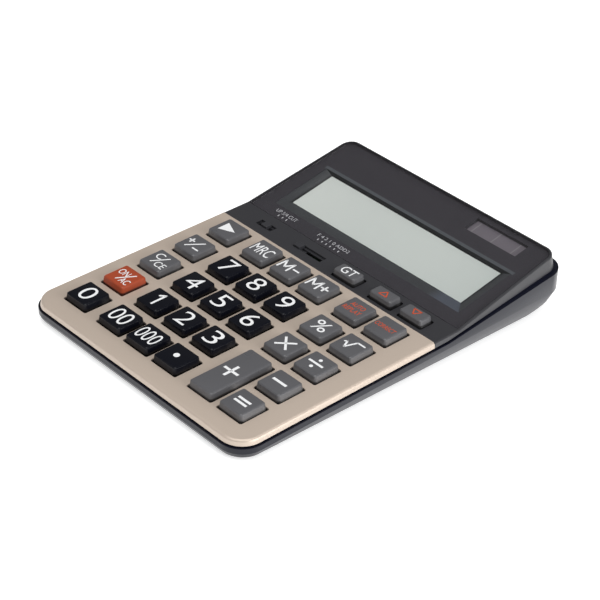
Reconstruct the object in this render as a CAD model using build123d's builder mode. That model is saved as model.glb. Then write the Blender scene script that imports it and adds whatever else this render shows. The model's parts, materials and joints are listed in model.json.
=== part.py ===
from build123d import *
import os
from math import asin, atan, cos, degrees, radians, sin, tan

# Desk calculator, millimetres.  X runs to the right, Y to the back, Z up.  The origin lies on the
# table under the middle of the case.  Most pieces are drawn in the deck frame: x across the keys,
# v back from the front rim along the sloping deck, w out of the deck.

# ---------------------------------------------------------------- driving sizes: housing
case_width = 152.4            # lower case, side to side
case_length = 210.0           # lower case, front rim to back rim
front_height = 10.75          # deck above the table at the front rim
deck_climb = 10.99            # deck rises this much from the front rim to the back rim
panel_climb = 13.7            # display panel rises this much over the deck at the back rim
part_climb = 8.5              # parting line rises this much from its bend to the back rim
foot_height = 1.2             # rubber feet below the underside
front_corner = 12.5           # plan radius at the front corners
back_corner = 10.5            # plan radius at the back corners
ledge = 1.0                   # lower case stands out past the upper case
skirt = 2.9                   # faceplate edge and front wall of the upper case
wall_draft = 11.0             # lean of the upper walls
groove = 0.8                  # shadow groove between the two cases
belt = 6.5                    # straight band of the lower case, measured down from the deck
hull_draft = 25.0             # lean of the lower case below the band
heel_radius = case_length * 0.1048     # rounded back edge of the underside
keel_fillet = 2.5             # rounded edge round the underside
case_wall = 2.6               # lower case wall
floor_thickness = 1.8
lip_width = 0.8               # tongue on the rim of the lower case
upper_wall = 2.6
top_reach = 40.0              # how far the blank blocks reach before they are trimmed

# ---------------------------------------------------------------- driving sizes: keys
first_column = -case_width * 0.3661    # middle of the left key column
column_step = case_width * 0.13255     # key to key inside a block
block_step = case_width * 0.164        # key to key across a gap between two blocks
first_row = case_length * 0.0973        # middle of the front key row, from the front rim
row_step = case_length * 0.1038
opening = column_step * 0.8366         # square key opening
wide_opening = opening + 0.7           # openings of the double and triple zero and the point
opening_corner = 1.0
key_gap = 0.6                 # running gap between a key and its opening
key_corner = 1.8
key_rise = 3.7                # key top above the deck
key_draft = 9.5
key_edge = 0.5
key_travel = 1.5
flange_reach = 0.7            # flange hidden under the deck, past the opening
flange_thickness = 0.8
plunger_length = 0.6
plunger_width = 4.4           # square post that presses the dome
small_key_width = opening - 0.7        # openings of the three keys in the dark strip
small_key_depth = 9.6
small_key_row = case_length * 0.6066
small_key_rise = 3.3
key_wall = 1.4
pocket_roof = 2.2             # roof of the pocket under a key, above the deck

# ---------------------------------------------------------------- driving sizes: top skins
faceplate_back = case_length * 0.5724  # back edge of the faceplate
faceplate_skin = 0.8
faceplate_wall = 1.2
faceplate_roll = 1.5          # rolled outer edge
strip_drop = 0.4              # dark strip below the faceplate surface
deck_thickness = 1.6          # deck of the upper case under the faceplate skin
panel_start = case_length * 0.6504     # crease between the strip and the display panel
part_bend = panel_start - 7.6          # the parting line rises from here to the back
window_margin = 1.2           # dark rim around the clear panel
rim_chamfer = 0.5
window_thickness = 1.5
mask_thickness = 0.2
plate_thickness = 1.6         # display plate of the upper case

# ---------------------------------------------------------------- driving sizes: display, in panel frame
panel_tilt = degrees(atan(panel_climb / (case_length - panel_start)))
panel_depth = (case_length - panel_start) / cos(radians(panel_tilt))
view_width = case_width - 34.0         # visible glass
view_front = panel_depth * 0.2238
view_back = panel_depth * 0.5936
funnel_side = 5.4             # slope of the bezel from the mask down to the glass
funnel_front = 7.1
funnel_back = 1.4
bezel_border = 1.4            # flat rim of the bezel under the mask
glass_margin = 1.6            # glass hidden under the bezel at the sides
glass_front = view_front - 5.9
glass_back = view_back + 2.2
glass_thickness = 2.0
frame_wall = 1.4
frame_clearance = 0.2
frame_screw_inset = 8.2       # from the side of the case
frame_ear_rows = (glass_front + 1.2, glass_front + 18.2)
frame_ear_depth = 4.4
connector_inset = 0.6
connector_width = 2.4
board_gap = 2.1               # height of the elastomer connector
display_board_back = glass_front + 17.2
solar_inset = 18.8            # from the side of the case
solar_width = 33.8
solar_back = panel_depth - 8.45
solar_front = solar_back - 9.8
solar_margin = 1.4
solar_thickness = 1.7

# ---------------------------------------------------------------- driving sizes: inside
board_thickness = 1.2
board_corner = 2.0
board_width = case_width - 23.8
board_front = 9.0
board_back = panel_start - 2.2
sheet_margin = 1.05           # from the sides of the main board
sheet_thickness = 0.5
dome_sides = 6
dome_radius = 4.8              # across the corners of a dome's foot
dome_taper = 45.0
post_radius = 2.0
post_clearance = 0.5
strip_screw_x = -case_width * 0.2493   # between the two slide switches
side_screw_x = case_width * 0.4429
back_screw_inset = 11.4                # from the side of the case
side_screw_rows = (case_length * 0.0762, case_length * 0.5524)
back_screw_row = case_length * 0.7524
joint_level = 6.0             # screw posts of both cases meet this far under the deck
screw_web = 2.6               # floor of the screw wells under that level
screw_reach = 2.6             # thread in the posts of the upper case
boss_radius = 2.6
screw_radius = 1.1
screw_head_radius = 2.0
screw_head_height = 1.2
screw_clearance = 0.15
small_screw_reach = 2.4
frame_screw_reach = 1.0
cover_screw_reach = 3.6
small_screw_radius = 0.8
small_head_radius = 1.6
small_head_height = 1.0
countersink = 45.0            # half angle of a flat head

chip_spot = (-10.0, case_length * 0.3571)
chip_radius = 6.0
chip_height = 1.6
chip_taper = 60.0
ribbon_lap = 8.0              # soldered length on each board
ribbon_thickness = 0.3
ribbon_width = 20.0
ribbon_x = 2.0

# ---------------------------------------------------------------- driving sizes: switches
switch_row = case_length * 0.6114
slot_width = 4.6
slot_gap = 0.5
switch_pitch = 2.93           # one step of a slide switch
rounding_centre = -case_width * 0.3366
rounding_steps = 2            # three places, at rest in the middle one
decimal_centre = -case_width * 0.1273
decimal_steps = 5             # six places, at rest in the left one
knob_length = 4.0
knob_depth = 4.0
knob_rise = 0.9
slot_floor = 0.8
neck_width = 1.6
slider_length = 9.0
slider_depth = 6.8
slider_thickness = 1.0
wiper_thickness = 0.3
wiper_width = 3.0
wiper_seat = 3.0
wiper_reach = 4.0
slider_gap = 0.1              # running gap above and below a slider

# ---------------------------------------------------------------- driving sizes: battery
cell_diameter = 14.5
cell_length = 49.2
cell_nub = 1.3
cell_nub_radius = 2.75
bay_centre_x = -case_width * 0.05
bay_centre_y = case_length * 0.3477
bay_length = 56.0
bay_width = 15.1
bay_wall = 1.2
bay_height = 14.9
cover_lap = 2.2
cover_tab = 9.0               # screw tab at each end of the cover
cover_thickness = 1.8
cover_seat = 0.9
cover_gap = 0.2
contact_thickness = 0.4
contact_width = 11.0
negative_spring_length = 3.6
cell_shoulder = 0.6
cover_boss_height = 6.0
foot_radius = 5.0
foot_recess = 0.8
rib_rows = (-case_length * 0.2952, -case_length * 0.1143, case_length * 0.0667)
rib_thickness = 1.0
rib_top = 4.6
foot_inset = 14.2             # from the side of the case
foot_rows = (-case_length * 0.3714, case_length * 0.3619)

# ---------------------------------------------------------------- frames
deck_slope = asin(deck_climb / case_length)
front_edge = -(case_length * cos(deck_slope) + (skirt + groove + belt) * sin(deck_slope)) / 2
deck = Plane(
    origin=(0, front_edge, front_height),
    x_dir=(1, 0, 0),
    z_dir=(0, -sin(deck_slope), cos(deck_slope)),
)
side = Plane(origin=deck.origin, x_dir=deck.y_dir, z_dir=(1, 0, 0))
panel_slope = deck_slope + radians(panel_tilt)
panel = Plane(
    origin=deck.from_local_coords(Vector(0, panel_start, -strip_drop)),
    x_dir=(1, 0, 0),
    z_dir=(0, -sin(panel_slope), cos(panel_slope)),
)
panel_side = Plane(origin=panel.origin, x_dir=panel.y_dir, z_dir=(1, 0, 0))
deck_axis = Axis(deck.origin, deck.z_dir)

# ---------------------------------------------------------------- levels, from the deck down
column_x = []
for steps, blocks in ((0, 0), (0, 1), (1, 1), (2, 1), (2, 2), (3, 2)):
    column_x.append(first_column + steps * column_step + blocks * block_step)
row_v = [first_row + row * row_step for row in range(5)]
under_deck = faceplate_skin + deck_thickness
flange_bottom = under_deck + flange_thickness
plunger_end = flange_bottom + plunger_length
sheet_top = plunger_end + key_travel + 0.1
board_top = sheet_top + sheet_thickness
board_bottom = board_top + board_thickness
mask_top = window_thickness
plate_top = window_thickness + mask_thickness
plate_bottom = plate_top + plate_thickness
glass_bottom = plate_bottom + glass_thickness
display_board_top = glass_bottom + board_gap
display_board_bottom = display_board_top + board_thickness
view_middle = (view_front + view_back) / 2
frame_width = view_width + 2 * funnel_side
frame_front = view_front - funnel_front
frame_back = view_back + funnel_back
solar_right = case_width / 2 - solar_inset
solar_left = solar_right - solar_width
part_rise = atan(part_climb / (case_length - part_bend))

# Every key: name, column, row, keys deep, opening width
key_table = [
    ("key_0", 0, 0, 1, opening),
    ("key_00", 1, 0, 1, wide_opening),
    ("key_000", 2, 0, 1, wide_opening),
    ("key_point", 3, 0, 1, wide_opening),
    ("key_plus", 4, 0, 2, opening),
    ("key_equals", 5, 0, 1, opening),
    ("key_on_ac", 0, 1, 1, opening),
    ("key_1", 1, 1, 1, opening),
    ("key_2", 2, 1, 1, opening),
    ("key_3", 3, 1, 1, opening),
    ("key_minus", 5, 1, 1, opening),
    ("key_c_ce", 0, 2, 1, opening),
    ("key_4", 1, 2, 1, opening),
    ("key_5", 2, 2, 1, opening),
    ("key_6", 3, 2, 1, opening),
    ("key_times", 4, 2, 1, opening),
    ("key_divide", 5, 2, 1, opening),
    ("key_sign", 0, 3, 1, opening),
    ("key_7", 1, 3, 1, opening),
    ("key_8", 2, 3, 1, opening),
    ("key_9", 3, 3, 1, opening),
    ("key_percent", 4, 3, 1, opening),
    ("key_root", 5, 3, 1, opening),
    ("key_shift", 0, 4, 1, opening),
    ("key_memory_recall", 1, 4, 1, opening),
    ("key_memory_minus", 2, 4, 1, opening),
    ("key_memory_plus", 3, 4, 1, opening),
    ("key_auto_replay", 4, 4, 1, opening),
    ("key_correct", 5, 4, 1, opening),
]
small_key_table = [("key_grand_total", 3), ("key_check_up", 4), ("key_check_down", 5)]

deck_keys = []                # name, x, v, opening width, opening depth
for name, column, row, deep, width in key_table:
    depth = opening + (deep - 1) * row_step
    deck_keys.append((name, column_x[column], row_v[row] + (deep - 1) * row_step / 2, width, depth))
strip_keys = []
for name, column in small_key_table:
    strip_keys.append((name, column_x[column], small_key_row, small_key_width, small_key_depth))

left_gap = (column_x[0] + column_x[1]) / 2
right_gap = (column_x[3] + column_x[4]) / 2
board_screws_at = [(strip_screw_x, switch_row), (right_gap, small_key_row)]
for x in (left_gap, right_gap):
    for v in (row_v[0] + row_step / 2, row_v[3] + row_step / 2):
        board_screws_at.append((x, v))

os.makedirs("parts", exist_ok=True)


def save(part, label):
    part.label = label
    export_step(part, f"parts/{label}.step")


# ---------------------------------------------------------------- shapes that several pieces share
def case_outline(plane, inset):
    """Plan outline of the lower case, drawn in by inset."""
    with BuildSketch(plane) as outline:
        with Locations((0, case_length / 2)):
            Rectangle(case_width - 2 * inset, case_length - 2 * inset)
        fillet(outline.vertices().group_by(Axis.Y)[0], front_corner - inset)
        fillet(outline.vertices().group_by(Axis.Y)[-1], back_corner - inset)
    return outline.sketch


def housing_block(inset):
    """Drafted block of the upper housing, its walls drawn in by inset."""
    with BuildPart() as block:
        extrude(case_outline(deck.offset(-skirt), ledge + inset), amount=top_reach, taper=wall_draft)
    return block.part


def side_region(plane, points):
    """Block across the whole width whose side view has these corners."""
    with BuildPart() as region:
        with BuildSketch(plane):
            with BuildLine():
                Polyline(*points, close=True)
            make_face()
        extrude(amount=case_width, both=True)
    return region.part


def above_surface(drop):
    """Everything above the strip and the display panel, both lowered by drop."""
    crease = panel_start - drop * tan(radians(panel_tilt / 2))
    far = case_length * 1.5
    climb = (far - crease) * tan(radians(panel_tilt))
    low = -strip_drop - drop
    return side_region(
        side,
        [(-far, low), (crease, low), (far, low + climb), (far, far), (-far, far)],
    )


def beyond_parting(drop, reach):
    """Everything between the line where the two cases meet, lowered by drop, and a far level."""
    far = case_length * 1.5
    climb = (far - part_bend) * tan(part_rise)
    level = -skirt - drop
    return side_region(
        side,
        [(-far, level), (part_bend, level), (far, level + climb), (far, reach), (-far, reach)],
    )


def strip_box(start, end, low, high):
    """Full-width block of the deck frame between two distances and two levels."""
    return side_region(side, [(start, low), (end, low), (end, high), (start, high)])


def panel_box(left, right, front, back, low, high):
    """Block of the display panel frame."""
    with BuildPart() as box:
        with BuildSketch(panel.offset(low)):
            with Locations(((left + right) / 2, (front + back) / 2)):
                Rectangle(right - left, back - front)
        extrude(amount=high - low)
    return box.part


def hull(inset, rise):
    """Solid shape of the lower case, drawn in by inset and lifted by rise."""
    floor = foot_height + rise
    heel_start = -front_edge - heel_radius
    with BuildPart() as body:
        extrude(case_outline(deck.offset(-belt), inset), amount=top_reach)
        extrude(case_outline(deck.offset(-belt), inset), amount=-top_reach / 2, taper=hull_draft)
        with BuildSketch(Plane.YZ):
            with BuildLine():
                heel = CenterArc((heel_start, foot_height + heel_radius), heel_radius - rise, -90, 90)
                Polyline(
                    heel @ 1,
                    (heel_start + heel_radius - rise, top_reach * 2),
                    (-case_length, top_reach * 2),
                    (-case_length, floor),
                    heel @ 0,
                )
            make_face()
        extrude(amount=case_width, both=True, mode=Mode.INTERSECT)
    return body.part


def pins(plane, spots, radius, amount):
    """Round pins standing on a plane, one at each spot."""
    with BuildPart() as group:
        with BuildSketch(plane):
            with Locations(*spots):
                Circle(radius)
        extrude(amount=amount)
    return group.part


def screws(plane, spots, radius, head_radius, head_height, length):
    """Pan-head screws, their heads under the plane and their shanks above it."""
    with BuildPart() as group:
        add(pins(plane, spots, radius, length))
        add(pins(plane, spots, head_radius, -head_height))
    return group.part


def countersunk(plane, spots, radius, head_radius, length):
    """Flat-head screws, flush with the plane and standing above it."""
    with BuildPart() as group:
        with BuildSketch(plane):
            with Locations(*spots):
                Circle(head_radius)
        extrude(amount=head_radius - radius, taper=countersink)
        add(pins(plane, spots, radius, length))
    return group.part


def upright_box(left, right, front, back, low, high):
    """Block square to the table."""
    with BuildPart() as box:
        with BuildSketch(Plane.XY.offset(low)):
            with Locations(((left + right) / 2, (front + back) / 2)):
                Rectangle(right - left, back - front)
        extrude(amount=high - low)
    return box.part


def deck_box(left, right, front, back, low, high):
    """Block square to the key deck."""
    with BuildPart() as box:
        with BuildSketch(deck.offset(low)):
            with Locations(((left + right) / 2, (front + back) / 2)):
                Rectangle(right - left, back - front)
        extrude(amount=high - low)
    return box.part


# ---------------------------------------------------------------- places worked out from the sizes
joint_plane = deck.offset(-joint_level)
screw_seat = deck.offset(-joint_level - screw_web)
back_screw_x = case_width / 2 - back_screw_inset
case_screws_at = [(-back_screw_x, back_screw_row), (back_screw_x, back_screw_row)]
for v in side_screw_rows:
    case_screws_at += [(-side_screw_x, v), (side_screw_x, v)]
foot_x = case_width / 2 - foot_inset
feet_at = []
for y in foot_rows:
    feet_at += [(-foot_x, y), (foot_x, y)]
bay_left = bay_centre_x - bay_length / 2
bay_right = bay_centre_x + bay_length / 2
bay_front = bay_centre_y - bay_width / 2
bay_back = bay_centre_y + bay_width / 2
bay_roof = foot_height + cover_thickness + bay_height
cover_screws_at = [
    (bay_left - cover_tab / 2, bay_centre_y),
    (bay_right + cover_tab / 2, bay_centre_y),
]
slots = []                    # centre, steps, place of the knob at rest
slots.append((rounding_centre, rounding_steps, rounding_centre))
slots.append((decimal_centre, decimal_steps, decimal_centre - decimal_steps * switch_pitch / 2))

frame_screw_x = case_width / 2 - frame_screw_inset
frame_screws_at = []
for y in frame_ear_rows:
    frame_screws_at += [(-frame_screw_x, y), (frame_screw_x, y)]

# ---------------------------------------------------------------- lower case
with BuildPart() as tongue:
    extrude(case_outline(deck.offset(-belt), case_wall - lip_width), amount=top_reach)
    extrude(case_outline(deck.offset(-belt), case_wall), amount=top_reach, mode=Mode.SUBTRACT)
    add(beyond_parting(0, case_length), mode=Mode.SUBTRACT)

with BuildPart() as bosses:
    add(pins(joint_plane, case_screws_at, boss_radius, -top_reach))
    for x, y in cover_screws_at:
        with BuildSketch(Plane.XY):
            with Locations((x, y)):
                Circle(boss_radius)
        extrude(amount=foot_height + cover_boss_height)
    for rib_y in rib_rows:
        add(upright_box(-case_width / 2, case_width / 2, rib_y, rib_y + rib_thickness, 0, rib_top))
    add(
        upright_box(
            bay_left - bay_wall,
            bay_right + bay_wall,
            bay_front - bay_wall,
            bay_back + bay_wall,
            0,
            bay_roof + bay_wall,
        )
    )
    add(hull(case_wall / 2, floor_thickness / 2), mode=Mode.INTERSECT)

with BuildPart() as lower_case:
    add(hull(0, 0))
    underside = lower_case.faces().filter_by(Plane.XY).sort_by(Axis.Z)[0]
    fillet(underside.edges().sort_by(Axis.Y)[:-1], keel_fillet)
    add(hull(case_wall, floor_thickness), mode=Mode.SUBTRACT)
    # the rim lies a groove below the upper case, and its tongue carries the upper case
    add(beyond_parting(groove, case_length), mode=Mode.SUBTRACT)
    add(tongue.part)
    add(bosses.part)
    # screw wells from below
    shank_hole = screw_radius + screw_clearance
    head_hole = screw_head_radius + screw_clearance
    add(pins(joint_plane, case_screws_at, shank_hole, -top_reach), mode=Mode.SUBTRACT)
    add(pins(screw_seat, case_screws_at, head_hole, -top_reach), mode=Mode.SUBTRACT)
    # battery bay, open below, with a seat for its cover
    add(upright_box(bay_left, bay_right, bay_front, bay_back, 0, bay_roof), mode=Mode.SUBTRACT)
    add(
        upright_box(
            bay_left - cover_tab,
            bay_right + cover_tab,
            bay_front - cover_lap,
            bay_back + cover_lap,
            0,
            foot_height + cover_seat,
        ),
        mode=Mode.SUBTRACT,
    )
    for x, y in cover_screws_at:
        with BuildSketch(Plane.XY):
            with Locations((x, y)):
                Circle(small_screw_radius)
        extrude(amount=foot_height + cover_boss_height - floor_thickness / 2, mode=Mode.SUBTRACT)
    # pockets for the rubber feet
    add(pins(Plane.XY, feet_at, foot_radius, foot_height + foot_recess), mode=Mode.SUBTRACT)

save(lower_case.part, "lower_case")

# ---------------------------------------------------------------- keypad faceplate
with BuildPart() as faceplate_core:
    add(housing_block(faceplate_wall))
    add(strip_box(-case_length, case_length * 2, -faceplate_skin, case_length), mode=Mode.SUBTRACT)

with BuildPart() as faceplate_blank:
    add(housing_block(0))
    add(strip_box(-case_length, faceplate_back, -skirt, 0), mode=Mode.INTERSECT)

with BuildPart() as keypad_faceplate:
    add(faceplate_blank.part)
    top_edges = keypad_faceplate.faces().sort_by(deck_axis)[-1].edges().sort_by(Axis.Y)
    fillet(top_edges[:-1], faceplate_roll)
    top_edges = keypad_faceplate.faces().sort_by(deck_axis)[-1].edges().sort_by(Axis.Y)
    fillet(top_edges[-1], strip_drop / 2)
    add(faceplate_core.part, mode=Mode.SUBTRACT)
    for name, x, v, width, depth in deck_keys:
        with BuildSketch(deck.offset(-skirt)):
            with Locations((x, v)):
                RectangleRounded(width, depth, opening_corner)
        extrude(amount=skirt * 2, mode=Mode.SUBTRACT)

save(keypad_faceplate.part, "keypad_faceplate")

with BuildPart() as faceplate_space:
    add(faceplate_blank.part)
    add(faceplate_core.part, mode=Mode.SUBTRACT)

# ---------------------------------------------------------------- upper case
with BuildPart() as roof:
    add(above_surface(under_deck - strip_drop))
    add(
        side_region(
            panel_side,
            [
                (-plate_thickness, -plate_bottom),
                (case_length, -plate_bottom),
                (case_length, case_length),
                (-plate_thickness, case_length),
            ],
        )
    )

with BuildPart() as cavity:
    add(housing_block(upper_wall))
    add(roof.part, mode=Mode.SUBTRACT)

with BuildPart() as posts:
    add(pins(joint_plane, case_screws_at, post_radius, top_reach))
    add(pins(deck.offset(-board_top), board_screws_at, post_radius, top_reach))
    add(roof.part, mode=Mode.SUBTRACT)

with BuildPart() as window_blank:
    add(housing_block(window_margin))
    add(
        panel_box(-case_width, case_width, 0, case_length, -window_thickness, 0),
        mode=Mode.INTERSECT,
    )

with BuildPart() as mask_blank:
    add(housing_block(window_margin))
    add(
        panel_box(-case_width, case_width, 0, case_length, -plate_top, -mask_top),
        mode=Mode.INTERSECT,
    )

bezel_left = -frame_width / 2 - bezel_border
bezel_right = frame_width / 2 + bezel_border
bezel_front = frame_front - bezel_border
bezel_back = frame_back + bezel_border
bezel_blank = panel_box(bezel_left, bezel_right, bezel_front, bezel_back, -plate_bottom, -plate_top)

with BuildPart() as upper_case:
    add(housing_block(0))
    add(above_surface(0), mode=Mode.SUBTRACT)
    # chamfer all round the top, but not along the crease
    tops = upper_case.faces().filter_by(lambda face: face.normal_at().Z > 0.9)
    rim = [e for e in tops.edges() if abs(side.to_local_coords(e.center()).X - panel_start) > 1]
    chamfer(rim, rim_chamfer)
    add(beyond_parting(0, -case_length), mode=Mode.SUBTRACT)
    add(faceplate_space.part, mode=Mode.SUBTRACT)
    add(cavity.part, mode=Mode.SUBTRACT)
    add(posts.part)
    # key openings: plain ones under the faceplate, rounded ones in the dark strip
    for name, x, v, width, depth in deck_keys:
        with BuildSketch(deck):
            with Locations((x, v)):
                Rectangle(width, depth)
        extrude(amount=-under_deck, mode=Mode.SUBTRACT)
    for name, x, v, width, depth in strip_keys:
        with BuildSketch(deck):
            with Locations((x, v)):
                RectangleRounded(width, depth, opening_corner)
        extrude(amount=-under_deck, mode=Mode.SUBTRACT)
    # a sunk slot with a slit in its floor for each slide switch
    for centre, steps, rest in slots:
        travel = steps * switch_pitch
        add(
            deck_box(
                centre - travel / 2 - knob_length / 2 - slot_gap,
                centre + travel / 2 + knob_length / 2 + slot_gap,
                switch_row - slot_width / 2,
                switch_row + slot_width / 2,
                -under_deck + slot_floor,
                0,
            ),
            mode=Mode.SUBTRACT,
        )
        add(
            deck_box(
                centre - travel / 2 - knob_length / 2,
                centre + travel / 2 + knob_length / 2,
                switch_row - neck_width / 2 - slot_gap / 2,
                switch_row + neck_width / 2 + slot_gap / 2,
                -under_deck,
                0,
            ),
            mode=Mode.SUBTRACT,
        )
    # seat of the clear panel and its mask, and the cut-outs in the display plate
    add(window_blank.part, mode=Mode.SUBTRACT)
    add(mask_blank.part, mode=Mode.SUBTRACT)
    add(bezel_blank, mode=Mode.SUBTRACT)
    add(
        panel_box(solar_left, solar_right, solar_front, solar_back, -plate_bottom, -plate_top),
        mode=Mode.SUBTRACT,
    )
    # pilot holes
    add(pins(joint_plane, case_screws_at, screw_radius, screw_reach), mode=Mode.SUBTRACT)
    add(
        pins(deck.offset(-board_top), board_screws_at, small_screw_radius, small_screw_reach),
        mode=Mode.SUBTRACT,
    )
    add(
        pins(panel.offset(-plate_bottom), frame_screws_at, small_screw_radius, frame_screw_reach),
        mode=Mode.SUBTRACT,
    )

save(upper_case.part, "upper_case")

# ---------------------------------------------------------------- clear panel, printed mask and bezel
save(window_blank.part, "display_window")

with BuildPart() as window_mask:
    add(mask_blank.part)
    add(
        panel_box(-frame_width / 2, frame_width / 2, frame_front, frame_back, -plate_top, 0),
        mode=Mode.SUBTRACT,
    )
    add(
        panel_box(solar_left, solar_right, solar_front, solar_back, -plate_top, 0),
        mode=Mode.SUBTRACT,
    )

save(window_mask.part, "window_mask")

with BuildPart() as lcd_bezel:
    add(bezel_blank)
    with BuildSketch(panel.offset(-plate_top)):
        with Locations((0, (frame_front + frame_back) / 2)):
            Rectangle(frame_width, frame_back - frame_front)
    with BuildSketch(panel.offset(-plate_bottom)):
        with Locations((0, view_middle)):
            Rectangle(view_width, view_back - view_front)
    loft(mode=Mode.SUBTRACT)

save(lcd_bezel.part, "lcd_bezel")

# ---------------------------------------------------------------- display glass, its frame and board
glass_half = view_width / 2 + glass_margin
save(
    panel_box(-glass_half, glass_half, glass_front, glass_back, -glass_bottom, -plate_bottom),
    "lcd_glass",
)

frame_half = glass_half + frame_clearance + frame_wall
with BuildPart() as lcd_frame:
    add(
        panel_box(
            -frame_half,
            frame_half,
            glass_front - frame_clearance - frame_wall,
            glass_back + frame_clearance + frame_wall,
            -glass_bottom,
            -plate_bottom,
        )
    )
    # deeper front and sides that carry the display board
    add(
        panel_box(
            -frame_half,
            frame_half,
            glass_front - frame_clearance - frame_wall,
            display_board_back,
            -display_board_top,
            -plate_bottom,
        )
    )
    # ears for the screws
    for y in frame_ear_rows:
        add(
            panel_box(
                -frame_screw_x - small_head_radius,
                frame_screw_x + small_head_radius,
                y - frame_ear_depth / 2,
                y + frame_ear_depth / 2,
                -glass_bottom,
                -plate_bottom,
            )
        )
    add(
        panel_box(
            -glass_half - frame_clearance,
            glass_half + frame_clearance,
            glass_front - frame_clearance,
            glass_back + frame_clearance,
            -case_length,
            0,
        ),
        mode=Mode.SUBTRACT,
    )
    add(
        pins(panel.offset(-glass_bottom), frame_screws_at, small_screw_radius, glass_thickness),
        mode=Mode.SUBTRACT,
    )

save(lcd_frame.part, "lcd_frame")

save(
    screws(
        panel.offset(-glass_bottom),
        frame_screws_at,
        small_screw_radius,
        small_head_radius,
        small_head_height,
        glass_thickness + frame_screw_reach,
    ),
    "lcd_frame_screws",
)

save(
    panel_box(
        -glass_half + glass_margin,
        glass_half - glass_margin,
        glass_front + connector_inset,
        glass_front + connector_inset + connector_width,
        -display_board_top,
        -glass_bottom,
    ),
    "lcd_connector",
)

display_board_front = glass_front - frame_clearance - frame_wall
save(
    panel_box(
        -frame_half,
        frame_half,
        display_board_front,
        display_board_back,
        -display_board_bottom,
        -display_board_top,
    ),
    "display_board",
)

save(
    panel_box(
        solar_left - solar_margin,
        solar_right + solar_margin,
        solar_front - solar_margin,
        solar_back + solar_margin,
        -plate_bottom - solar_thickness,
        -plate_bottom,
    ),
    "solar_cell",
)

# ---------------------------------------------------------------- main board and dome sheet
with BuildPart() as main_board:
    add(
        deck_box(-board_width / 2, board_width / 2, board_front, board_back, -board_bottom, -board_top)
    )
    fillet(main_board.edges().filter_by(deck_axis), board_corner)
    add(
        pins(
            deck.offset(-board_bottom),
            board_screws_at,
            small_screw_radius + screw_clearance,
            board_thickness,
        ),
        mode=Mode.SUBTRACT,
    )

save(main_board.part, "main_board")

save(
    screws(
        deck.offset(-board_bottom),
        board_screws_at,
        small_screw_radius,
        small_head_radius,
        small_head_height,
        board_thickness + small_screw_reach,
    ),
    "board_screws",
)

with BuildPart() as controller_chip:
    with BuildSketch(deck.offset(-board_bottom)):
        with Locations(chip_spot):
            Circle(chip_radius)
    extrude(amount=-chip_height, taper=chip_taper)

save(controller_chip.part, "controller_chip")

dome_spots = [(x, v) for name, x, v, width, depth in deck_keys + strip_keys]
with BuildPart() as dome_sheet:
    sheet_half = board_width / 2 - sheet_margin
    add(
        deck_box(
            -sheet_half,
            sheet_half,
            row_v[0] - opening / 2,
            row_v[-1] + opening / 2,
            -board_top,
            -sheet_top,
        )
    )
    add(
        deck_box(
            column_x[3] - small_key_width / 2,
            sheet_half,
            row_v[-1],
            small_key_row + small_key_depth / 2,
            -board_top,
            -sheet_top,
        )
    )
    with BuildSketch(deck.offset(-sheet_top)):
        with Locations(*dome_spots):
            RegularPolygon(dome_radius, dome_sides)
    extrude(amount=sheet_top - plunger_end, taper=dome_taper)
    add(
        pins(
            deck.offset(-board_top), board_screws_at, post_radius + post_clearance, sheet_thickness
        ),
        mode=Mode.SUBTRACT,
    )

save(dome_sheet.part, "dome_sheet")

with BuildPart() as ribbon_cable:
    upper_line = [(board_back - ribbon_lap, -board_bottom), (board_back, -board_bottom)]
    for lap in (0, ribbon_lap):
        solder_line = Vector(display_board_front + lap, -display_board_bottom)
        landing = side.to_local_coords(panel_side.from_local_coords(solder_line))
        upper_line.append((landing.X, landing.Y))
    lower_line = [(v, w - ribbon_thickness) for v, w in reversed(upper_line)]
    with BuildSketch(side.offset(ribbon_x - ribbon_width / 2)):
        with BuildLine():
            Polyline(*upper_line, *lower_line, close=True)
        make_face()
    extrude(amount=ribbon_width)

save(ribbon_cable.part, "ribbon_cable")

# ---------------------------------------------------------------- keys
def key_cap(x, v, width, depth, rise):
    """One moulded key: drafted cap, flange that stops it under the deck, pocket and plunger."""
    cap_width = width - 2 * key_gap
    cap_depth = depth - 2 * key_gap
    spread = under_deck * tan(radians(key_draft))
    with BuildPart() as cap:
        with BuildSketch(deck.offset(-flange_bottom)):
            with Locations((x, v)):
                Rectangle(width + 2 * flange_reach, depth + 2 * flange_reach)
        extrude(amount=flange_thickness)
        with BuildSketch(deck.offset(-under_deck)):
            with Locations((x, v)):
                RectangleRounded(
                    cap_width + 2 * spread, cap_depth + 2 * spread, key_corner + spread
                )
        extrude(amount=under_deck + rise, taper=key_draft)
        chamfer(cap.faces().sort_by(deck_axis)[-1].edges(), key_edge)
        with BuildSketch(deck.offset(-flange_bottom)):
            with Locations((x, v)):
                Rectangle(cap_width - 2 * key_wall, cap_depth - 2 * key_wall)
        extrude(amount=flange_bottom + pocket_roof, mode=Mode.SUBTRACT)
        with BuildSketch(deck.offset(-plunger_end)):
            with Locations((x, v)):
                Rectangle(plunger_width, plunger_width)
        extrude(amount=plunger_end + pocket_roof)
    return cap.part


for name, x, v, width, depth in deck_keys:
    save(key_cap(x, v, width, depth, key_rise), name)
for name, x, v, width, depth in strip_keys:
    save(key_cap(x, v, width, depth, small_key_rise), name)

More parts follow.
